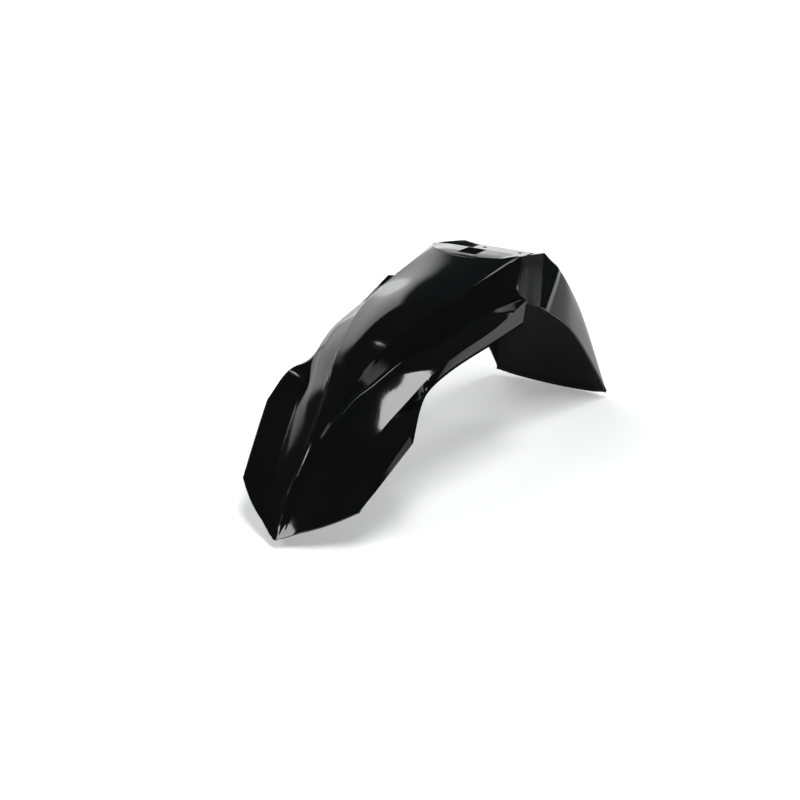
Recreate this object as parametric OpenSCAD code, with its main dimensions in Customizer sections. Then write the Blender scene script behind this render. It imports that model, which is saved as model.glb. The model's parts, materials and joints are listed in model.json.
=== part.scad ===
// Motorcycle front mudguard, moulded in one piece from gloss black plastic.
// Millimetres, +Z up, nose toward -Y. X = 0 is the plane of symmetry.
// The origin is the middle of the four bolt holes, on top of the seat that meets the fork yoke.

/* [Shell] */
// thickness of the moulded wall
wall = 3; // [2.4:0.1:3.6]
// how far the outer margin of the nose wings is bent down
lip_depth = 9; // [4:0.5:12]
// how far the rear side walls sit inside the stepped end of the front body
step_in = 1.8; // [0.8:0.2:2.6]

/* [Nose and body] */
// nose tip, forward of the bolt centre
nose_reach = 517.5; // [490:1:545]
// nose tip, below the seat
nose_drop = 251.5; // [235:1:265]
// half width over the nose wings
wing_half = 118; // [108:1:128]
// half width at the rear end of the flanks
shelf_half = 114.5; // [108:1:121]
// half width of the deck at its front corners
deck_half = 72; // [68:0.5:76]
// top of the deck lip above the seat
lip_rise = 17; // [14:0.5:20]
// how far the front edge of each wing bows forward
front_bow = 3; // [1:0.5:5]
// how far each wing and fore flank is crowned
flank_crown = 1.8; // [0.5:0.1:3]

/* [Rear skirt] */
// lower corners of the skirt, behind the bolt centre
skirt_reach = 193; // [180:1:206]
// lower corners of the skirt, above the level of the nose tip
corner_lift = 1.5; // [-6:0.5:12]
// half width over the lower corners of the skirt
skirt_half = 100.5; // [94:0.5:106]
// how far the middle of the lower edge hangs below its corners
skirt_sag = 12; // [6:1:18]
// how far the fold across each side wall of the skirt stands out
fold_rise = 1.2; // [0.6:0.1:2]
// how much thicker than the wall the lower edge of the skirt is
bead = 1.6; // [0.8:0.1:2.4]

/* [Seat] */
// seat width
seat_w = 88; // [80:1:92]
// seat length
seat_l = 74; // [66:1:76]
// bolt spacing across
bolt_x = 60; // [50:1:64]
// bolt spacing along
bolt_y = 50; // [42:1:54]
// bolt hole diameter
bolt_d = 6.6; // [6:0.1:7.5]
// outside diameter of the boss round each bolt hole
boss_d = 16; // [14:0.5:18]
// height of each boss under the seat
boss_h = 4; // [3:0.5:6]
// width of the slot through the deck lip
slot_w = 30; // [24:1:34]
// length of the slot through the deck lip
slot_l = 32; // [24:1:34]

/* [Hidden] */
gloss_black = [0.03, 0.03, 0.035];

// the lines below are drawn at these sizes and stretched to the sizes above
drawn_reach = 517.5;
drawn_drop = 251.5;
drawn_wing = 118;
drawn_shelf = 114.5;
drawn_deck = 72;
drawn_rise = 17;
drawn_skirt_reach = 193;
drawn_skirt_drop = 250;
drawn_skirt = 100.5;
skirt_drop = nose_drop - corner_lift;

// steps between two stations of the body, and between two stations of the skirt
body_steps = 5;
skirt_steps = 4;
// steps across each panel: crown, shoulder, side wall, step, flank, flange, lip
panel_steps = [4, 4, 3, 1, 4, 3, 1];

// how far the shell under the seat lies below it
seat_proud = 0.6;
// flat margin round the seat, and the run from it up to the deck lip
seat_margin = 2;
lip_run = 4;
// how far the slot stays behind the front of that run
slot_back = 2;
// how far a cutting shape runs past what it cuts
cut = 1;
// sides of a round boss or hole
round_steps = 48;

// stretch for a point of the front body; w is the stretch in width
function front(p, w) = [
    p[0] * w,
    p[1] * nose_reach / drawn_reach,
    p[2] < 0 ? p[2] * nose_drop / drawn_drop : p[2] * lip_rise / drawn_rise
];
function widen(lines, w) = [for (p = lines) front(p, w)];

deck_k = deck_half / drawn_deck;
shelf_k = shelf_half / drawn_shelf;
wing_k = wing_half / drawn_wing;

// the lines that run back from the nose, one point at each station:
// front edge, tip, nose, widest point, narrowing, waist, fore flank, rear flank, rear end
crest = widen([
    [0, -517.5, -251.5], [0, -486, -206], [0, -440, -149], [0, -388, -92], [0, -357, -60],
    [0, -318, -32], [0, -250, -8.5], [0, -165, 4], [0, -93, 16]
], deck_k);
shoulder = widen([
    [3, -516.5, -250.3], [3.5, -485, -207], [4, -440, -150], [13, -388, -97.5], [22.5, -356, -67],
    [34, -312, -40], [47, -250.5, -17.5], [54, -166, -3.5], [50, -79, 17]
], deck_k);
ridge = widen([
    [6, -515, -249], [6.5, -484, -208.5], [6.5, -439, -152], [16.5, -388, -101.5], [27, -355.5, -76],
    [40, -308, -48], [54, -247, -24.6], [63, -162, -6], [72, -48, 17]
], deck_k);
foot = widen([
    [9, -514, -248], [9, -483, -209.5], [8.5, -438, -153.5], [19.5, -386, -107.5], [32, -354, -88.5],
    [47, -307, -64], [60.5, -242, -44.3], [72, -167.9, -31.7], [80, -70.6, -22.5]
], deck_k);
groove = widen([
    [11, -513, -247.3], [11.5, -482.5, -210.5], [11, -437.5, -155], [22.5, -385.5, -110],
    [35.5, -353, -91], [51, -306, -67.5], [64, -242.5, -52.4], [78, -163.9, -39.4], [87, -72.8, -30.8]
], shelf_k);
crease = widen([
    [30, -503, -238.5], [38.2, -471.4, -211], [55.2, -432.4, -177.3], [69.5, -383.4, -133.9],
    [81, -343, -105.5], [91.8, -302, -79.5], [102, -252, -62.5], [109.5, -176, -48],
    [114.5, -104, -26.2]
], shelf_k);
rim_fore = widen([
    [92.1, -465, -210], [101, -440, -188], [109.5, -413, -164], [118, -385, -140]
], wing_k);
rim_rear = widen([
    [118, -385, -140], [107.5, -352, -106], [97, -313, -94.8], [101.5, -262, -80.6], [109, -182, -69],
    [114.5, -110, -59]
], shelf_k);
// the share of the full lip at each station
lip_share = [0, 0.45, 0.75, 1, 0.8, 0.35, 0.3, 0.3, 0.3];

// a smooth curve through evenly numbered points
function pull(a, b, c, d, t) =
    b + 0.5 * t * (c - a + t * (2 * a - 5 * b + 4 * c - d + t * (3 * (b - c) + d - a)));
function ends(pts, i) =
    i < 0 ? 2 * pts[0] - pts[1] : (i >= len(pts) ? 2 * pts[len(pts) - 1] - pts[len(pts) - 2] : pts[i]);
function along(pts, u) =
    let (i = min(floor(u), len(pts) - 2), t = u - i)
    pull(ends(pts, i - 1), pts[i], pts[i + 1], ends(pts, i + 2), t);
function straight(pts, u) =
    let (i = min(floor(u), len(pts) - 2), t = u - i)
    pts[i] + (pts[i + 1] - pts[i]) * t;

rim_split = len(rim_fore) - 1;
function rim(u) = u < rim_split ? straight(rim_fore, u) : along(rim_rear, u - rim_split);
lean = [0.35, 0, -0.94];
lip_slant = 0.02;
function lip_top(u) =
    let (g = rim(u), f = along(crease, u), h = straight(lip_share, u) * lip_depth)
    g - lean * h + (f - g) * lip_slant;

// how soft the upper ridge is at each station: 0 is a sharp line, 1 is fully rounded
ridge_soft = [1, 1, 0, 0, 0, 0, 0.6, 1, 0.3];
skirt_soft = 0.5;

// the way in which the front edge bows, at its full size on the first row only
bow_way = [0.25, -0.75, -0.6];
// the way in which the flank is crowned, and its share of the full height at each station
crown_way = [0.35, -0.35, 0.87];
crown_share = [0, 0.2, 0.7, 1, 1, 1, 0.7, 0.3, 0];

// one row of the front body, from the middle plane out to the rim
function body_lines(u) = [
    along(crest, u), along(shoulder, u), along(ridge, u), along(foot, u),
    along(groove, u), along(crease, u), lip_top(u), rim(u)
];
// the panels between the lines: the first three are curved, the others are straight or swell a little
curved_panels = 3;
function half_row(lines, panels, soft, swell) = concat(
    [for (k = [0:panels - 1], s = [0:panel_steps[k] - 1])
        let (t = s / panel_steps[k])
        k < curved_panels
            ? crown_point(lines, k, t, soft)
            : mix(lines[k], lines[k + 1], t) + swell[k - curved_panels] * 4 * t * (1 - t)
    ],
    [lines[panels]]
);
function mix(a, b, s) = a + (b - a) * s;
function crown_point(lines, k, t, soft) =
    let (
        before = [
            mirror_x(lines[1]),
            lines[0],
            mix(2 * lines[2] - lines[3], lines[1], soft)
        ][k],
        after = [
            lines[2],
            mix(2 * lines[2] - lines[1], lines[3], soft),
            2 * lines[3] - lines[2]
        ][k]
    )
    pull(before, lines[k], lines[k + 1], after, t);

// how far the panels outside the side wall swell at their middle: step, flank, flange, lip
function body_swell(u) = [
    [0, 0, 0],
    crown_way * straight(crown_share, u) * flank_crown,
    bow_way * max(0, 1 - u) * front_bow,
    [0, 0, 0]
];
body_panels = 7;
skirt_panels = 3;
body_end = 8;
body_rows = [for (u = [0:1 / body_steps:body_end])
    half_row(body_lines(u), body_panels, straight(ridge_soft, u), body_swell(u))];

// the deck and the skirt behind it, one list for each station: middle, seat edge, shoulder, free edge
function back(p, w) = [
    p[0] * w,
    p[1] * (p[1] > 0 ? skirt_reach / drawn_skirt_reach : 1),
    p[2] * (p[2] > 0 ? lip_rise / drawn_rise : skirt_drop / drawn_skirt_drop)
];
skirt_k = skirt_half / drawn_skirt;
function blend(s) = deck_k + (skirt_k - deck_k) * s;
seat_edge = seat_w / 2 + seat_margin;
seat_end = seat_l / 2 + seat_margin;
lip_back = -seat_end - lip_run;
deck_stations = [
    [[0, -90.5, 17.3], [50, -76, 17.3], [72 - step_in, -46.8, 16.6], [79 - step_in, -66, -25]],
    [[0, lip_back - 1, 17.5], [seat_edge, lip_back - 1, 17.2], [70.4, -43, 15.6], [79.5, -57, -38]],
    [[0, -seat_end, -seat_proud], [seat_edge, -seat_end, -seat_proud], [70.6, -36, 15], [81.5, -44, -51.5]],
    [[0, 0, -seat_proud], [seat_edge, 0, -seat_proud], [69.5, -4, 10], [83.5, -27, -58]],
    [[0, seat_end, -seat_proud], [seat_edge, seat_end, -seat_proud], [68, 29, 5], [84.3, -8, -65.5]]
];
sag_share = 0.7;
skirt_stations = [
    [[0, seat_end, -seat_proud], [seat_edge, seat_end, -seat_proud], [68, 29, 5], [84.3, -8, -65.5]],
    [[0, 78, -18], [50, 76, -19], [72, 66, -27], [85.8, 4, -70.5]],
    [[0, 116, -60], [54, 113, -61], [74, 102, -63.5], [90, 66, -109]],
    [[0, 153, -114], [57, 150, -114], [78, 137, -112], [93.5, 106, -145.5]],
    [[0, 184, -184], [62, 180, -183], [87, 168, -179], [97, 151.5, -198]],
    [
        [0, 207, -250 - skirt_sag], [66, 203, -250 - skirt_sag * sag_share],
        [97.5, 194, -251], [100.5, 193, -250]
    ]
];
// the fold crosses the side wall at the second station of the skirt
fold_at = 1;
fold_span = 0.25;
fold_way = [[0, 0, 0], [0, 0, 0], [0.7, 0, 0.1], [1, 0, 0]];
function fold(u) =
    abs(u - fold_at) < fold_span ? (1 + cos(180 * (u - fold_at) / fold_span)) / 2 : 0;
skirt_end = 5;
function station(rows, i, s) = [for (k = [0:3]) back(rows[i][k], blend(s))];
deck_lines = [for (i = [0:len(deck_stations) - 1]) station(deck_stations, i, 0)];
skirt_lines = [for (i = [0:skirt_end]) station(skirt_stations, i, i / skirt_end)];
function column(rows, k) = [for (r = rows) r[k]];
function deck_row(u) = half_row([for (k = [0:3]) straight(column(deck_lines, k), u)], skirt_panels, 0, []);
function skirt_row(u) = half_row(
    [for (k = [0:3]) along(column(skirt_lines, k), u) + fold_way[k] * fold_rise * fold(u)],
    skirt_panels, skirt_soft * min(u, 1), []
);
// rows of the skirt: even ones, more of them over the fold, and the thick edge at the end
fold_rows = 3;
row_gap = 0.01;
bead_from = [4.88, 4.92, skirt_end];
bead_rows = 2;
skirt_u = concat(
    [for (u = [0:1 / skirt_steps:fold_at - fold_span - row_gap]) u],
    [for (s = [-fold_rows:fold_rows]) fold_at + s / fold_rows * fold_span],
    [for (u = [fold_at + fold_span + 1 / skirt_steps:1 / skirt_steps:bead_from[0]]) u],
    bead_from
);
deck_step = 0.5;
deck_end = 4;
back_rows = concat(
    [for (u = [0:deck_step:deck_end - deck_step]) deck_row(u)],
    [for (u = skirt_u) skirt_row(u)]
);

// both halves of a row, left to right
function mirror_x(p) = [-p[0], p[1], p[2]];
function whole(row) = concat([for (i = [len(row) - 1:-1:1]) mirror_x(row[i])], row);
front_grid = [for (r = body_rows) whole(r)];
back_grid = [for (r = back_rows) whole(r)];

front_n = len(front_grid);
back_n = len(back_grid);
wide = len(front_grid[0]);
narrow = len(back_grid[0]);
inset = (wide - narrow) / 2;
row_n = front_n + back_n;
// the point at row i and column j; columns are numbered over the full width
function has(i, j) = i >= 0 && i < row_n && j >= 0 && j < wide
    && (i < front_n || (j >= inset && j < wide - inset));
function at(i, j) = i < front_n ? front_grid[i][j] : back_grid[i - front_n][j - inset];
function unit(v) = norm(v) < 1e-9 ? [0, 0, 0] : v / norm(v);
function run(a, b) = unit(b - a);
function slope_i(i, j) =
    (has(i + 1, j) ? run(at(i, j), at(i + 1, j)) : [0, 0, 0])
    + (has(i - 1, j) ? run(at(i - 1, j), at(i, j)) : [0, 0, 0]);
function slope_j(i, j) =
    (has(i, j + 1) ? run(at(i, j), at(i, j + 1)) : [0, 0, 0])
    + (has(i, j - 1) ? run(at(i, j - 1), at(i, j)) : [0, 0, 0]);
function outward(i, j) = unit(cross(slope_j(i, j), slope_i(i, j)));
function index(i, j) = i < front_n ? i * wide + j : front_n * wide + (i - front_n) * narrow + j - inset;
function depth(i) = i < row_n - bead_rows ? wall : wall + bead;
outer_skin = [for (i = [0:row_n - 1], j = [0:wide - 1]) if (has(i, j)) at(i, j)];
inner_skin = [for (i = [0:row_n - 1], j = [0:wide - 1]) if (has(i, j)) at(i, j) - outward(i, j) * depth(i)];
skin_n = front_n * wide + back_n * narrow;

function cell(i, j) = has(i, j) && has(i + 1, j) && has(i, j + 1) && has(i + 1, j + 1);
top_faces = [for (i = [0:row_n - 2], j = [0:wide - 2]) if (cell(i, j))
    let (a = index(i, j), b = index(i + 1, j), c = index(i + 1, j + 1), d = index(i, j + 1))
    each [[a, b, c], [a, c, d]]];
under_faces = [for (f = top_faces) [f[2] + skin_n, f[1] + skin_n, f[0] + skin_n]];
// the free edge, once round
last = wide - 1;
edge = concat(
    [for (j = [0:last]) index(0, j)],
    [for (i = [1:front_n - 1]) index(i, last)],
    [for (j = [last - 1:-1:wide - inset - 1]) index(front_n - 1, j)],
    [for (i = [front_n:row_n - 1]) index(i, wide - inset - 1)],
    [for (j = [wide - inset - 2:-1:inset]) index(row_n - 1, j)],
    [for (i = [row_n - 2:-1:front_n]) index(i, inset)],
    [for (j = [inset:-1:0]) index(front_n - 1, j)],
    [for (i = [front_n - 2:-1:1]) index(i, 0)]
);
edge_faces = [for (k = [0:len(edge) - 1])
    let (a = edge[k], b = edge[(k + 1) % len(edge)])
    each [[a, b, b + skin_n], [a, b + skin_n, a + skin_n]]];

module shell() {
    polyhedron(
        points = concat(outer_skin, inner_skin),
        faces = concat(top_faces, under_faces, edge_faces),
        convexity = 8
    );
}

module bolt_places() {
    for (x = [-1, 1], y = [-1, 1])
        translate([x * bolt_x / 2, y * bolt_y / 2, 0])
        children();
}

module seat() {
    translate([-seat_w / 2, -seat_l / 2, -wall])
    cube([seat_w, seat_l, wall]);
    bolt_places()
    translate([0, 0, -wall - boss_h])
    cylinder(d = boss_d, h = boss_h + wall / 2, $fn = round_steps);
}

module seat_holes() {
    bolt_places()
    translate([0, 0, -wall - boss_h - cut])
    cylinder(d = bolt_d, h = wall + boss_h + 2 * cut, $fn = round_steps);
    translate([-slot_w / 2, lip_back - slot_back - slot_l, 0])
    cube([slot_w, slot_l, 2 * lip_rise]);
}

module mudguard() {
    color(gloss_black)
    difference() {
        union() {
            shell();
            seat();
        }
        seat_holes();
    }
}

mudguard();
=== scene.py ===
import json
import math

import bpy
import numpy as np
from mathutils import Matrix, Vector

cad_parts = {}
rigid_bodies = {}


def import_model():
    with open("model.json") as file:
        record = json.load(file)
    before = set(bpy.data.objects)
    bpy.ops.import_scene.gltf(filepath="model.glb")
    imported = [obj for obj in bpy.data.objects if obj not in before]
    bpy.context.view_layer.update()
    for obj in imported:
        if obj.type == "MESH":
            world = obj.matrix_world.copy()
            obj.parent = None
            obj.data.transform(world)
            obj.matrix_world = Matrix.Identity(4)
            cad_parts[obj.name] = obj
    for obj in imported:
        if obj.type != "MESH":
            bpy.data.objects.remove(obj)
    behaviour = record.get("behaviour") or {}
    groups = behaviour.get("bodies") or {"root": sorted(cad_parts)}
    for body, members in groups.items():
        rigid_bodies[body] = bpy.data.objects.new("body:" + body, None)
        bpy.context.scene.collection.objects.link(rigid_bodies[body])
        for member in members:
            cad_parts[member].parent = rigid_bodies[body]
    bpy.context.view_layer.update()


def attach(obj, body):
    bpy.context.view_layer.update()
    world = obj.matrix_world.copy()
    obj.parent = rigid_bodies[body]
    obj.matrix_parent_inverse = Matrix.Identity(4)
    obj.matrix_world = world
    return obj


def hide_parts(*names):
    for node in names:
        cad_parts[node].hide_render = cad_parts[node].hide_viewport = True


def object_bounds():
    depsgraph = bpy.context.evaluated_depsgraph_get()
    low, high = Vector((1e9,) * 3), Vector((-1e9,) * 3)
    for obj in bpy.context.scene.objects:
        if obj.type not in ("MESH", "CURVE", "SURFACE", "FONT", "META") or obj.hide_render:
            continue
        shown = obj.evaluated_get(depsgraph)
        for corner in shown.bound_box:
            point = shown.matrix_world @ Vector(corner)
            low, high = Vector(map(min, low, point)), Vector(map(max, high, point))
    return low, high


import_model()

MM = 0.001
# a hair, which keeps whole station numbers whole; a length below it counts as none
HAIR = 1e-9

# sizes of the moulding, in millimetres
WALL = 3.0
LIP_DEPTH = 9.0
STEP_IN = 1.8
LIP_RISE = 17.0
SKIRT_SAG = 12.0
FRONT_BOW = 3.0
FLANK_CROWN = 1.8
FOLD_RISE = 1.2
BEAD = 1.6
SEAT_W = 88.0
SEAT_L = 74.0
SEAT_PROUD = 0.6
BOLT_X = 60.0
BOLT_Y = 50.0
BOLT_D = 6.6
BOSS_D = 16.0
BOSS_H = 4.0
SLOT_W = 30.0
SLOT_L = 32.0
SLOT_BACK = 2.0
SLOT_ROUND = 1.5
DECK_HALF = 72.0
EDGE_ROUND = 1.6
SEAT_ROUND = 0.35
# how far the bores and the slot are cut past what they cut through
BORE_PAST = 1.0
SLOT_PAST = 6.0

# rows to each station and columns to each panel
BODY_STEPS = 14
SKIRT_STEPS = 12
PANEL_STEPS = [6, 7, 5, 2, 8, 7, 2]
CURVED_PANELS = 3
BODY_PANELS = 7
BACK_PANELS = 3
# the panels whose columns stand close to a pressed line
STEP_AT = {2: [0, 0.25, 0.5, 0.75, 0.94], 3: [0, 0.82]}

# lines that run back from the nose, one point at each station: front edge, tip, nose, widest
# point, narrowing, waist, fore flank, rear flank, rear end
CREST = [
    (0, -517.5, -251.5), (0, -486, -206), (0, -440, -149), (0, -388, -93), (0, -357, -63),
    (0, -318, -34), (0, -250, -10), (0, -165, 3.5), (0, -93, 16),
]
SHOULDER = [
    (3, -516.5, -250.3), (3.5, -485, -207), (4, -440, -150), (13.5, -388, -98.5), (24.3, -356, -71.2),
    (37, -309.5, -41.4), (50, -249, -19.5), (54, -166, -3.5), (50, -79, 17),
]
RIDGE = [
    (6, -515, -249), (6.5, -484, -208.5), (6.5, -439, -152), (16.5, -388, -101.5), (27, -355.5, -76),
    (40, -308, -48), (54, -247, -24.6), (63, -162, -6), (72, -48, 17),
]
FOOT = [
    (9, -514, -248), (9, -483, -209.5), (8.5, -438, -153.5), (19.5, -386, -107.5), (32, -354, -88.5),
    (47, -307, -64), (60.5, -242, -44.3), (72, -167.9, -31.7), (80, -70.6, -22.5),
]
GROOVE = [
    (11, -513, -247.3), (11.5, -482.5, -210.5), (11, -437.5, -155), (22.5, -385.5, -110),
    (35.5, -353, -91), (51, -306, -67.5), (64, -242.5, -52.4), (78, -163.9, -39.4), (87, -72.8, -30.8),
]
CREASE = [
    (30, -503, -238.5), (38.2, -471.4, -211), (55.2, -432.4, -177.3), (69.5, -383.4, -133.9),
    (81, -343, -105.5), (91.8, -302, -79.5), (102, -252, -62.5), (109.5, -176, -48), (114.5, -104, -26.2),
]
# the free edge: straight stretches to the widest point, then a smooth curve
RIM_FORE = [(92.1, -465, -210), (101, -440, -188), (109.5, -413, -164), (118, -385, -140)]
RIM_REAR = [
    (118, -385, -140), (107.5, -352, -106), (97, -313, -94.8), (101.5, -262, -80.6), (109, -182, -69),
    (114.5, -110, -59),
]
RIM_SPLIT = len(RIM_FORE) - 1
BODY_END = len(CREST) - 1

# shares at each station: depth of the lip, roundness of the ridge, keel and crown, height of the
# flank's crown and of the fine raised edges along the two pressed lines
LIP_SHARE = [0, 0.45, 0.75, 1, 0.8, 0.35, 0.3, 0.3, 0.3]
RIDGE_SOFT = [1, 1, 0, 0, 0, 0, 0.6, 1, 0.3]
KEEL_SOFT = [0, 0, 0, 0, 0.2, 0.6, 1, 1, 1]
CROWN_SOFT = [1, 1, 1, 0.4, 0, 0, 0, 1, 1]
CROWN_SHARE = [0, 0.2, 0.7, 1, 1, 1, 0.7, 0.3, 0]
PRESSED_SHARE = [0, 0, 0, 0, 1, 1, 1, 1, 0]
SKIRT_SOFT = 0.5

# the ways in which the lip leans, the front edge bows, the flank is crowned and the lines are raised
LEAN = np.array([0.35, 0, -0.94])
LIP_SLANT = 0.02
BOW_WAY = np.array([0.25, -0.75, -0.6])
CROWN_WAY = np.array([0.35, -0.35, 0.87])
PRESSED = {3: np.array([1.2, 0, 0.3]), 4: np.array([0.6, 0, 0.5])}

# deck and skirt, one list for each station: middle, seat edge, shoulder, free edge
SEAT_MARGIN = 2.0
SEAT_EDGE = SEAT_W / 2 + SEAT_MARGIN
SEAT_END = SEAT_L / 2 + SEAT_MARGIN
# the back of the deck's raised lip stands before the seat, and its upper edge a little before that
LIP_BACK = -SEAT_END - 4
LIP_EDGE = LIP_BACK - 1
DECK = [
    [(0, -90.5, 17.3), (50, -76, 17.3), (DECK_HALF - STEP_IN, -46.8, 16.6), (79 - STEP_IN, -66, -25)],
    [(0, LIP_EDGE, 17.5), (SEAT_EDGE, LIP_EDGE, 17.2), (70.4, -43, 15.6), (79.5, -57, -38)],
    [(0, -SEAT_END, -SEAT_PROUD), (SEAT_EDGE, -SEAT_END, -SEAT_PROUD), (70.6, -36, 15), (81.5, -44, -51.5)],
    [(0, 0, -SEAT_PROUD), (SEAT_EDGE, 0, -SEAT_PROUD), (69.5, -4, 10), (83.5, -27, -58)],
    [(0, SEAT_END, -SEAT_PROUD), (SEAT_EDGE, SEAT_END, -SEAT_PROUD), (68, 29, 5), (84.3, -8, -65.5)],
]
SAG_SHARE = 0.7
SKIRT_DROP = 250.0
SKIRT = [
    DECK[-1],
    [(0, 78, -18), (50, 76, -19), (72, 66, -27), (85.8, 4, -70.5)],
    [(0, 116, -60), (54, 113, -61), (74, 102, -63.5), (90, 66, -109)],
    [(0, 153, -114), (57, 150, -114), (78, 137, -112), (93.5, 106, -145.5)],
    [(0, 184, -184), (62, 180, -183), (87, 168, -179), (97, 151.5, -198)],
    [
        (0, 207, -SKIRT_DROP - SKIRT_SAG), (66, 203, -SKIRT_DROP - SKIRT_SAG * SAG_SHARE),
        (97.5, 194, -251), (100.5, 193, -SKIRT_DROP),
    ],
]
SKIRT_END = len(SKIRT) - 1
# the deck's rows, with more of them where it turns
DECK_ROWS = [0, 0.5, 0.96, 1, 1.25, 1.5, 1.75, 2, 2.1, 2.5, 3, 3.5, 3.9]
# the fold crosses the side wall at the skirt's second station; its last rows hold the thick edge
FOLD_AT = 1.0
FOLD_SPAN = 0.25
FOLD_WAY = np.array([(0, 0, 0), (0, 0, 0), (0.7, 0, 0.1), (1, 0, 0)], float)
FOLD_ROWS = {0.79, 0.875, 0.96, 1.04, 1.125, 1.21}
BEAD_FROM = 4.9
BEAD_ROWS = {4.88, 4.92}


# smooth and straight curves through evenly numbered points
def pull(a, b, c, d, t):
    return b + 0.5 * t * (c - a + t * (2 * a - 5 * b + 4 * c - d + t * (3 * (b - c) + d - a)))


def ends(pts, i):
    if i < 0:
        return 2 * pts[0] - pts[1]
    if i >= len(pts):
        return 2 * pts[-1] - pts[-2]
    return pts[i]


def place_in(pts, u):
    """The number of the stretch that holds u."""
    return min(int(math.floor(u + HAIR)), len(pts) - 2)


def along(pts, u):
    pts = np.array(pts, float)
    i = place_in(pts, u)
    return pull(ends(pts, i - 1), pts[i], pts[i + 1], ends(pts, i + 2), u - i)


def straight(pts, u):
    pts = np.array(pts, float)
    i = place_in(pts, u)
    return pts[i] + (pts[i + 1] - pts[i]) * (u - i)


def share(values, u):
    return float(straight([[v] for v in values], u)[0])


def mirror_x(p):
    return p * np.array([-1, 1, 1])


def mix(a, b, s):
    return a + (b - a) * s


def stations(first, last, steps):
    n = int(round((last - first) * steps))
    return [first + (last - first) * k / n for k in range(n + 1)]


# the front body
def rim(u):
    return straight(RIM_FORE, u) if u < RIM_SPLIT - HAIR else along(RIM_REAR, u - RIM_SPLIT)


def lip_top(u):
    g = rim(u)
    return g - LEAN * straight(LIP_SHARE, u) * LIP_DEPTH + (along(CREASE, u) - g) * LIP_SLANT


def body_lines(u):
    lines = [along(line, u) for line in (CREST, SHOULDER, RIDGE, FOOT, GROOVE, CREASE)] + [lip_top(u), rim(u)]
    return [p + PRESSED.get(k, 0) * share(PRESSED_SHARE, u) for k, p in enumerate(lines)]


def swell(u):
    """How far the straight panels swell at their middle: step, flank, flange, lip."""
    return [0, CROWN_WAY * share(CROWN_SHARE, u) * FLANK_CROWN, BOW_WAY * max(0, 1 - u) * FRONT_BOW, 0]


def curved_point(lines, k, t, soft, keel, crown):
    """A point of one of the three curved panels; 0 makes the line between two panels sharp, 1 round."""
    crest, shoulder, ridge, foot = lines[:4]
    before = [
        mix(2 * crest - shoulder, mirror_x(shoulder), keel),
        mix(2 * shoulder - ridge, crest, crown),
        mix(2 * ridge - foot, shoulder, soft),
    ][k]
    after = [
        mix(2 * shoulder - crest, ridge, crown),
        mix(2 * ridge - shoulder, foot, soft),
        2 * foot - ridge,
    ][k]
    return pull(before, lines[k], lines[k + 1], after, t)


def half_row(lines, panels, soft, rise=(), keel=1, crown=1):
    """One row of points, from the middle plane out to the free edge."""
    out = []
    for k in range(panels):
        for s in range(PANEL_STEPS[k]):
            t = STEP_AT[k][s] if k in STEP_AT else s / PANEL_STEPS[k]
            if k < CURVED_PANELS:
                out.append(curved_point(lines, k, t, soft, keel, crown))
            else:
                out.append(mix(lines[k], lines[k + 1], t) + rise[k - CURVED_PANELS] * 4 * t * (1 - t))
    out.append(lines[panels])
    return out


def body_row(u):
    soft, keel, crown = [share(values, u) for values in (RIDGE_SOFT, KEEL_SOFT, CROWN_SOFT)]
    return half_row(body_lines(u), BODY_PANELS, soft, swell(u), keel, crown)


# the deck and the skirt
def column(table, k):
    return [row[k] for row in table]


def fold(u):
    return (1 + math.cos(math.pi * (u - FOLD_AT) / FOLD_SPAN)) / 2 if abs(u - FOLD_AT) < FOLD_SPAN else 0


def deck_row(u):
    return half_row([straight(column(DECK, k), u) for k in range(4)], BACK_PANELS, 0)


def skirt_row(u):
    lines = [along(column(SKIRT, k), u) + FOLD_WAY[k] * FOLD_RISE * fold(u) for k in range(4)]
    return half_row(lines, BACK_PANELS, SKIRT_SOFT * min(u, 1))


def unit(v):
    n = np.linalg.norm(v)
    return v / n if n > HAIR else v * 0


class Grid:
    """The outer skin: full rows on the front body, and narrower ones in the middle behind it."""

    def __init__(self, halves, front_n):
        self.rows = [np.array([mirror_x(p) for p in half[:0:-1]] + list(half)) for half in halves]
        self.front_n = front_n
        self.row_n = len(self.rows)
        self.wide = len(self.rows[0])
        self.inset = (self.wide - len(self.rows[-1])) // 2
        self.cells = [(i, j) for i in range(self.row_n) for j in range(self.wide) if self.has(i, j)]
        self.ids = {cell: n for n, cell in enumerate(self.cells)}
        self.points = [self.at(i, j) for i, j in self.cells]
        self.normals = [self.normal(i, j) for i, j in self.cells]

    def has(self, i, j):
        if not (0 <= i < self.row_n and 0 <= j < self.wide):
            return False
        return i < self.front_n or self.inset <= j < self.wide - self.inset

    def at(self, i, j):
        return self.rows[i][j if i < self.front_n else j - self.inset]

    def run(self, i, j, di, dj):
        """The mean direction through a point along its row or its column."""
        total = np.zeros(3)
        p = self.at(i, j)
        if self.has(i + di, j + dj):
            total = total + unit(self.at(i + di, j + dj) - p)
        if self.has(i - di, j - dj):
            total = total + unit(p - self.at(i - di, j - dj))
        return total

    def normal(self, i, j):
        return unit(np.cross(self.run(i, j, 0, 1), self.run(i, j, 1, 0)))

    def edge(self):
        """The points of the free edge, once round."""
        last = self.wide - 1
        far, near = self.wide - self.inset - 1, self.inset
        loop = [(0, j) for j in range(last + 1)]
        loop += [(i, last) for i in range(1, self.front_n)]
        loop += [(self.front_n - 1, j) for j in range(last - 1, far - 1, -1)]
        loop += [(i, far) for i in range(self.front_n, self.row_n)]
        loop += [(self.row_n - 1, j) for j in range(far - 1, near - 1, -1)]
        loop += [(i, near) for i in range(self.row_n - 2, self.front_n - 1, -1)]
        loop += [(self.front_n - 1, j) for j in range(near, -1, -1)]
        loop += [(i, 0) for i in range(self.front_n - 2, 0, -1)]
        loop = [self.ids[cell] for cell in loop]
        return list(zip(loop, loop[1:] + loop[:1]))


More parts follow.
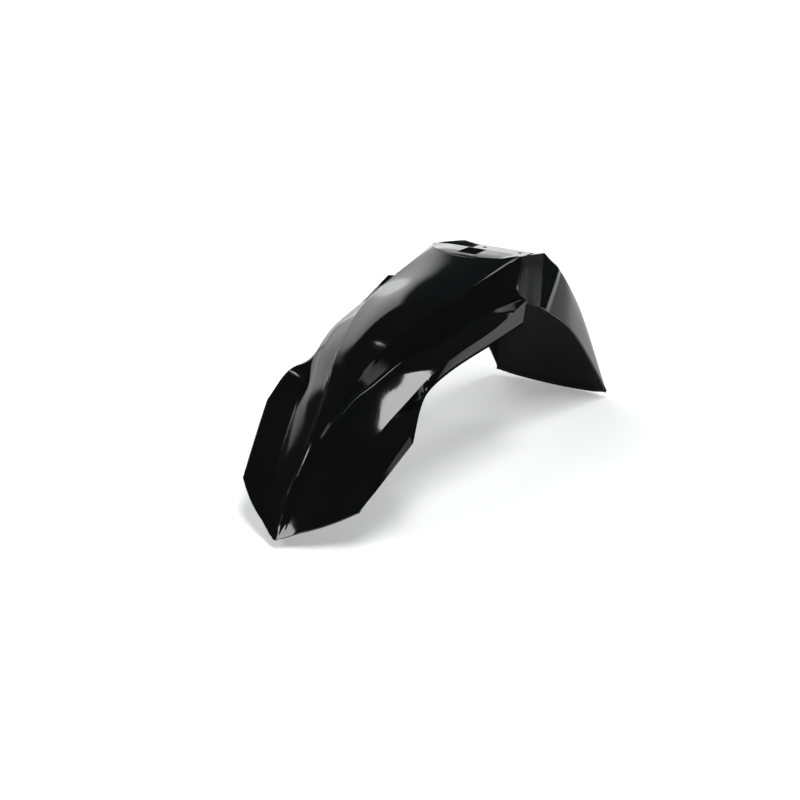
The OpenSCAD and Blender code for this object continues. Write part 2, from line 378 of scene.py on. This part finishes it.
def mesh_object(name, verts, faces):
    me = bpy.data.meshes.new(name)
    me.from_pydata([tuple(float(c) * MM for c in v) for v in verts], [], faces)
    me.validate()
    me.update()
    ob = bpy.data.objects.new(name, me)
    bpy.context.collection.objects.link(ob)
    return ob


def shell_object(name, grid, skin):
    """The outer skin, the inner one a wall's depth under it, and the free edge that joins them."""
    faces = []
    under = len(skin)
    for i, j in grid.cells:
        if grid.has(i + 1, j) and grid.has(i, j + 1) and grid.has(i + 1, j + 1):
            quad = [grid.ids[i, j], grid.ids[i, j + 1], grid.ids[i + 1, j + 1], grid.ids[i + 1, j]]
            faces.append(quad)
            faces.append([v + under for v in reversed(quad)])
    faces += [[b, a, a + under, b + under] for a, b in grid.edge()]
    return mesh_object(name, [p for p, n, d in skin] + [p - n * d for p, n, d in skin], faces)


# edges that turn by more than this stay sharp
SHARP_FROM = math.radians(34)
# shares of the full rounding: the free edge; lines of the front body by number, with the stations
# between which they are rounded; and rows behind the front body, counted from its end
FREE_EDGE = 0.55
ROUNDED_LINES = [(5, 1.0, 0.5, 9), (6, 0.7, 0.3, 9), (1, 0.6, 3.0, 6.4), (2, 0.7, 2.0, 5.6)]
ROUNDED_ROWS = [(-1, 0.6), (3, 0.9), (7, 0.9)]


def round_edges(shell, grid, body_u):
    starts = [sum(PANEL_STEPS[:k]) for k in range(BODY_PANELS + 1)]
    middle = grid.wide // 2
    under = len(grid.points)
    weights = {}

    def mark(a, b, weight):
        key = min(a, b), max(a, b)
        weights[key] = max(weight, weights.get(key, 0))

    for a, b in grid.edge():
        mark(a, b, FREE_EDGE)
        mark(a + under, b + under, FREE_EDGE)
    for k, weight, first, end in ROUNDED_LINES:
        for side in (-1, 1):
            j = middle + side * starts[k]
            for i in range(grid.front_n - 1):
                if first <= body_u[i] < end:
                    mark(grid.ids[i, j], grid.ids[i + 1, j], weight)
    for i, weight in ROUNDED_ROWS:
        for j in range(grid.inset, grid.wide - grid.inset - 1):
            mark(grid.ids[grid.front_n + i, j], grid.ids[grid.front_n + i, j + 1], weight)
    attr = shell.data.attributes.new("bevel_weight_edge", "FLOAT", "EDGE")
    for e in shell.data.edges:
        attr.data[e.index].value = weights.get((min(e.vertices), max(e.vertices)), 0)
    add_bevel(shell, "round_edges", EDGE_ROUND, 3, by_weight=True)


def add_bevel(ob, name, width, segments, by_weight=False):
    mod = ob.modifiers.new(name, "BEVEL")
    mod.width = width * MM
    mod.segments = segments
    if by_weight:
        mod.limit_method = "WEIGHT"
        mod.use_clamp_overlap = True
    bake(ob)


def bake(ob):
    graph = bpy.context.evaluated_depsgraph_get()
    new = bpy.data.meshes.new_from_object(ob.evaluated_get(graph))
    ob.modifiers.clear()
    old = ob.data
    ob.data = new
    bpy.data.meshes.remove(old)
    new.name = ob.name


def smooth(ob):
    for poly in ob.data.polygons:
        poly.use_smooth = True


# seat, bosses and cut-outs
def box_mesh(name, low, high):
    (x0, y0, z0), (x1, y1, z1) = low, high
    verts = [(x, y, z) for z in (z0, z1) for x, y in ((x0, y0), (x1, y0), (x1, y1), (x0, y1))]
    faces = [(0, 3, 2, 1), (4, 5, 6, 7), (0, 1, 5, 4), (1, 2, 6, 5), (2, 3, 7, 6), (3, 0, 4, 7)]
    return mesh_object(name, verts, faces)


def rod_mesh(name, x, y, r, z0, z1, n=48):
    ring = [(x + r * math.cos(2 * math.pi * k / n), y + r * math.sin(2 * math.pi * k / n)) for k in range(n)]
    verts = [(a, b, z) for z in (z0, z1) for a, b in ring]
    faces = [tuple(range(n))[::-1], tuple(range(n, 2 * n))]
    faces += [(k, (k + 1) % n, n + (k + 1) % n, n + k) for k in range(n)]
    return mesh_object(name, verts, faces)


def seat_block():
    seat = box_mesh("seat_block", (-SEAT_W / 2, -SEAT_L / 2, -WALL), (SEAT_W / 2, SEAT_L / 2, 0))
    add_bevel(seat, "soft_rim", SEAT_ROUND, 2)
    return seat


def slot_cutter():
    back = LIP_BACK - SLOT_BACK
    slot = box_mesh("slot_cut", (-SLOT_W / 2, back - SLOT_L, 0), (SLOT_W / 2, back, LIP_RISE + SLOT_PAST))
    add_bevel(slot, "round_corners", SLOT_ROUND, 4)
    return slot


def fit_seat(shell):
    """Join the seat and its bosses to the shell, then cut the bolt holes and the slot."""
    places = [(sx * BOLT_X / 2, sy * BOLT_Y / 2) for sx in (-1, 1) for sy in (-1, 1)]
    bottom = -WALL - BOSS_H
    tools = [(seat_block(), "UNION")]
    for n, (x, y) in enumerate(places):
        tools.append((rod_mesh("boss_%d" % n, x, y, BOSS_D / 2, bottom, -WALL / 2), "UNION"))
    for n, (x, y) in enumerate(places):
        tools.append((rod_mesh("bore_%d" % n, x, y, BOLT_D / 2, bottom - BORE_PAST, BORE_PAST), "DIFFERENCE"))
    tools.append((slot_cutter(), "DIFFERENCE"))
    for tool, how in tools:
        mod = shell.modifiers.new("join_" + tool.name, "BOOLEAN")
        mod.operation = how
        mod.solver = "FAST"
        mod.object = tool
    bake(shell)
    for tool, how in tools:
        data = tool.data
        bpy.data.objects.remove(tool)
        bpy.data.meshes.remove(data)


body_u = stations(0, BODY_END, BODY_STEPS)
skirt_u = sorted(set(stations(0, SKIRT_END, SKIRT_STEPS)) | FOLD_ROWS | BEAD_ROWS)
halves = [body_row(u) for u in body_u] + [deck_row(u) for u in DECK_ROWS] + [skirt_row(u) for u in skirt_u]
depths = [WALL] * (len(body_u) + len(DECK_ROWS)) + [WALL + (BEAD if u > BEAD_FROM else 0) for u in skirt_u]
grid = Grid(halves, len(body_u))
skin = [(p, n, depths[i]) for p, n, (i, j) in zip(grid.points, grid.normals, grid.cells)]

shell = shell_object("mudguard_skin", grid, skin)
smooth(shell)
round_edges(shell, grid, body_u)
fit_seat(shell)
smooth(shell)
shell.data.set_sharp_from_angle(angle=SHARP_FROM)
even = shell.modifiers.new("even_normals", "WEIGHTED_NORMAL")
even.keep_sharp = True
even.weight = 60

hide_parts("mudguard")
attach(shell, "root")


# materials
def node(tree, kind, x=0, y=0, **values):
    n = tree.nodes.new(kind)
    n.location = (x, y)
    for k, v in values.items():
        n.inputs[k].default_value = v
    return n


def map_range(tree, x, y, from_low, from_high, to_low, to_high, kind="LINEAR"):
    n = node(tree, "ShaderNodeMapRange", x, y)
    n.interpolation_type = kind
    n.inputs["From Min"].default_value = from_low
    n.inputs["From Max"].default_value = from_high
    n.inputs["To Min"].default_value = to_low
    n.inputs["To Max"].default_value = to_high
    return n


def moulded(name, dark, pale, rough_low, rough_high, sheen, peel_scale, peel_depth):
    """Moulded black plastic: clouded pigment, gloss with flow marks, orange peel over a finer grain."""
    m = bpy.data.materials.new(name)
    m.use_nodes = True
    nt = m.node_tree
    nt.nodes.clear()
    out = node(nt, "ShaderNodeOutputMaterial", 900, 0)
    bsdf = node(nt, "ShaderNodeBsdfPrincipled", 600, 0)
    bsdf.inputs["Metallic"].default_value = 0.0
    bsdf.inputs["IOR"].default_value = 1.5
    bsdf.inputs["Specular IOR Level"].default_value = sheen
    nt.links.new(bsdf.outputs["BSDF"], out.inputs["Surface"])
    coord = node(nt, "ShaderNodeTexCoord", -1000, 0)
    # faint clouding of the black pigment
    cloud = node(nt, "ShaderNodeTexNoise", -600, 300, Scale=14.0, Detail=3.0, Roughness=0.55)
    nt.links.new(coord.outputs["Object"], cloud.inputs["Vector"])
    tint = node(nt, "ShaderNodeValToRGB", -300, 300)
    tint.color_ramp.elements[0].position = 0.3
    tint.color_ramp.elements[0].color = (dark, dark, dark * 1.1, 1)
    tint.color_ramp.elements[1].position = 0.75
    tint.color_ramp.elements[1].color = (pale, pale, pale * 1.05, 1)
    nt.links.new(cloud.outputs["Fac"], tint.inputs["Fac"])
    nt.links.new(tint.outputs["Color"], bsdf.inputs["Base Color"])
    # the roughness varies a little with flow marks from moulding
    flow = node(nt, "ShaderNodeTexNoise", -600, 0, Scale=22.0, Detail=4.0, Roughness=0.6, Distortion=0.8)
    nt.links.new(coord.outputs["Object"], flow.inputs["Vector"])
    rough = map_range(nt, -300, 0, 0.3, 0.7, rough_low, rough_high)
    nt.links.new(flow.outputs["Fac"], rough.inputs["Value"])
    nt.links.new(rough.outputs["Result"], bsdf.inputs["Roughness"])
    # the orange peel of a moulded surface, and a finer grain under it
    peel = node(nt, "ShaderNodeTexNoise", -600, -300, Scale=peel_scale, Detail=2.0, Roughness=0.5)
    grain = node(nt, "ShaderNodeTexNoise", -600, -500, Scale=1600.0, Detail=1.0, Roughness=0.5)
    nt.links.new(coord.outputs["Object"], peel.inputs["Vector"])
    nt.links.new(coord.outputs["Object"], grain.inputs["Vector"])
    both = node(nt, "ShaderNodeMath", -300, -350)
    both.operation = "MULTIPLY_ADD"
    both.inputs[1].default_value = 0.15
    nt.links.new(grain.outputs["Fac"], both.inputs[0])
    nt.links.new(peel.outputs["Fac"], both.inputs[2])
    bump = node(nt, "ShaderNodeBump", 0, -300, Strength=peel_depth, Distance=0.0004)
    nt.links.new(both.outputs["Value"], bump.inputs["Height"])
    nt.links.new(bump.outputs["Normal"], bsdf.inputs["Normal"])
    return m


# each look: darkest and palest pigment, least and most roughness, sheen, scale and depth of the peel
GLOSS_LOOK = (0.0024, 0.0040, 0.05, 0.09, 0.42, 260.0, 0.05)
# the underside's look: its roughness and deeper peel are the satin finish, while its darker pigment and low
# sheen are painted shade
SATIN_AND_PAINTED_SHADE_LOOK = (0.0015, 0.0030, 0.42, 0.55, 0.13, 420.0, 0.2)
# a face belongs to the underside from this share of the wall's depth
UNDER_FROM = 0.6


def paint(shell, skin):
    """Gloss plastic outside. The faces of the underside get a rougher satin plastic, whose darker pigment and
    much weaker reflection are painted shade.
    """
    shell.data.materials.clear()
    shell.data.materials.append(moulded("gloss_black_plastic", *GLOSS_LOOK))
    shell.data.materials.append(moulded("satin_black_plastic_with_painted_shade", *SATIN_AND_PAINTED_SHADE_LOOK))
    inner = np.array([p - n * d for p, n, d in skin]) * MM
    outer = np.array([p for p, n, d in skin]) * MM
    for poly in shell.data.polygons:
        c = np.array(poly.center)
        k = int(np.argmin(((outer - c) ** 2).sum(1) + ((inner - c) ** 2).sum(1)))
        outward = np.array(skin[k][1])
        below = float((outer[k] - c) @ outward) > UNDER_FROM * WALL * MM
        # faces of the underside get the satin plastic with painted shade
        poly.material_index = 1 if below and float(np.array(poly.normal) @ outward) < 0 else 0


paint(shell, skin)

# camera, solved from the photo: focal length in widths of the picture, place and directions
FOCAL = 1400 / 800
SENSOR = 36.0
CAM = Vector((1006.105, -1712.884, 518.397)) * MM
RIGHT = (0.82550916, 0.56438872, 0.0)
UP = (-0.1988315, 0.29082301, 0.93588889)
BACK = (0.52820513, -0.77258485, 0.35229532)


def set_camera():
    data = bpy.data.cameras.new("camera")
    data.sensor_width = SENSOR
    data.lens = FOCAL * SENSOR
    data.clip_start = 0.05
    data.clip_end = 60.0
    cam = bpy.data.objects.new("camera", data)
    bpy.context.collection.objects.link(cam)
    cam.matrix_world = Matrix([(RIGHT[k], UP[k], BACK[k], CAM[k]) for k in range(3)] + [(0, 0, 0, 1)])
    bpy.context.scene.camera = cam


# the stage
FLOOR_Z = float(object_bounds()[0].z)
VIEW_AZ = math.atan2(-BACK[0], -BACK[1])


# the wash of light grows between the first two distances from the middle, in metres, and dims
# between the other two towards the right
WASH_REACH = (0.5, 2.2)
DIM_REACH = (0.95, 1.5)


def paper(name, near, far):
    """White backdrop paper; a wash of light over it makes up for the distance from the softboxes."""
    m = bpy.data.materials.new(name)
    m.use_nodes = True
    t = m.node_tree
    p = t.nodes["Principled BSDF"]
    p.inputs["Base Color"].default_value = (0.88, 0.88, 0.88, 1)
    p.inputs["Roughness"].default_value = 0.9
    p.inputs["Specular IOR Level"].default_value = 0.1
    p.inputs["Emission Color"].default_value = (1, 1, 1, 1)
    place = node(t, "ShaderNodeTexCoord", -900, 0)
    reach = node(t, "ShaderNodeVectorMath", -700, 0)
    reach.operation = "LENGTH"
    t.links.new(place.outputs["Object"], reach.inputs[0])
    wash = map_range(t, -500, 0, *WASH_REACH, near, far, "SMOOTHSTEP")
    t.links.new(reach.outputs["Value"], wash.inputs["Value"])
    # the wash dims beyond the right edge of the picture
    side = node(t, "ShaderNodeVectorMath", -700, -200)
    side.operation = "DOT_PRODUCT"
    side.inputs[1].default_value = RIGHT
    t.links.new(place.outputs["Object"], side.inputs[0])
    dim = map_range(t, -500, -200, *DIM_REACH, 1.0, 0.1, "SMOOTHSTEP")
    t.links.new(side.outputs["Value"], dim.inputs["Value"])
    total = node(t, "ShaderNodeMath", -300, -100)
    total.operation = "MULTIPLY"
    t.links.new(wash.outputs["Result"], total.inputs[0])
    t.links.new(dim.outputs["Result"], total.inputs[1])
    t.links.new(total.outputs["Value"], p.inputs["Emission Strength"])
    return m


def sweep(name, radius, half_turn, fade, bend, height, spokes=96, steps=14):
    """A round floor whose far side, behind the object as the camera sees it, bends up into a wall."""
    verts = [(0.0, 0.0, FLOOR_Z)]
    faces = []
    ring = []
    for a in range(spokes):
        ang = 2 * math.pi * a / spokes
        off = abs((ang - VIEW_AZ + math.pi) % (2 * math.pi) - math.pi)
        lift = max(0.0, min(1.0, (half_turn - off) / fade))
        lift = lift * lift * (3 - 2 * lift)
        spoke = []
        for k in range(steps + 1):
            t = k / steps
            turn = min(t * 2, 1) * math.pi / 2
            out = radius + bend * math.sin(turn)
            up = bend * (1 - math.cos(turn)) + max(0, t * 2 - 1) * (height - bend)
            spoke.append(len(verts))
            verts.append((math.sin(ang) * out, math.cos(ang) * out, FLOOR_Z + up * lift))
        ring.append(spoke)
    for c, d in zip(ring, ring[1:] + ring[:1]):
        faces.append((0, d[0], c[0]))
        faces += [(c[k], d[k], d[k + 1], c[k + 1]) for k in range(steps)]
    me = bpy.data.meshes.new(name)
    me.from_pydata(verts, [], faces)
    me.update()
    ob = bpy.data.objects.new(name, me)
    bpy.context.collection.objects.link(ob)
    smooth(ob)
    return ob


floor_ob = sweep("floor", 2.3, math.radians(46), math.radians(14), 0.35, 1.0)
floor_ob.data.materials.append(paper("floor_white", 0.32, 0.95))
set_camera()

# light
AIM = Vector((0.0, -0.2, -0.08))


def soften(data, fade):
    """The glow falls away towards the rim of a softbox, as it does through real diffuser cloth."""
    data.use_nodes = True
    t = data.node_tree
    glow = t.nodes["Emission"]
    place = node(t, "ShaderNodeNewGeometry", -900, 0)
    split = node(t, "ShaderNodeSeparateXYZ", -700, 0)
    t.links.new(place.outputs["Parametric"], split.inputs[0])
    total = node(t, "ShaderNodeMath", -100, -100)
    total.operation = "MULTIPLY"
    for n, axis in enumerate("XY"):
        tent = node(t, "ShaderNodeMath", -500, -300 * n)
        tent.operation = "PINGPONG"
        tent.inputs[1].default_value = 0.5
        t.links.new(split.outputs[axis], tent.inputs[0])
        rise = map_range(t, -300, -300 * n, 0.0, fade, 0.0, 1.0, "SMOOTHSTEP")
        t.links.new(tent.outputs["Value"], rise.inputs["Value"])
        t.links.new(rise.outputs["Result"], total.inputs[n])
    t.links.new(total.outputs["Value"], glow.inputs["Strength"])


def softbox(name, az, el, dist, w, h, radiance, spin=0.0, upright=False, fade=0):
    """A rectangular softbox seen from the object at a compass bearing (0 is +Y, 90 is +X) and height."""
    a, e = math.radians(az), math.radians(el)
    out = Vector((math.sin(a) * math.cos(e), math.cos(a) * math.cos(e), math.sin(e)))
    data = bpy.data.lights.new(name, "AREA")
    data.shape = "RECTANGLE"
    data.size, data.size_y = w, h
    data.energy = radiance * math.pi * w * h
    if fade:
        soften(data, fade)
    ob = bpy.data.objects.new(name, data)
    bpy.context.collection.objects.link(ob)
    ob.location = AIM + out * dist
    ob.rotation_mode = "QUATERNION"
    face = Vector((out.x, out.y, 0.0)).normalized() if upright else out
    q = (-face).to_track_quat("-Z", "Y")
    ob.rotation_quaternion = q @ Matrix.Rotation(math.radians(spin), 3, "Z").to_quaternion()


def dim_world(color, strength):
    world = bpy.data.worlds.new("world")
    bpy.context.scene.world = world
    world.use_nodes = True
    background = world.node_tree.nodes["Background"]
    background.inputs["Color"].default_value = color
    background.inputs["Strength"].default_value = strength


dim_world((0.9, 0.95, 1.0, 1), 0.05)
# the overhead strip, then the softboxes that the crown, nose, brim and flank mirror
softbox("softbox_strip", 132.0, 66.9, 2.4, 0.65, 1.41, 13.7, -3.5)
softbox("softbox_left", -63.0, 40.0, 2.9, 2.30, 2.90, 1.7, 0, True, 0.16)
softbox("softbox_low", -80.0, 13.0, 2.6, 1.30, 0.50, 1.0, 0, True, 0.2)
softbox("softbox_tip", -156.8, 34.4, 2.4, 0.80, 0.50, 10.0, -14.5)
softbox("softbox_right", 108.0, 20.0, 2.4, 0.90, 0.50, 1.4, 0, False, 0.2)
softbox("softbox_back", -30.0, 17.0, 2.3, 1.90, 0.40, 1.1, 0, False, 0.2)
softbox("softbox_groove", 26.0, 43.0, 2.4, 0.80, 0.90, 4.5, 0, False, 0.2)
bpy.context.scene.view_settings.view_transform = "Standard"
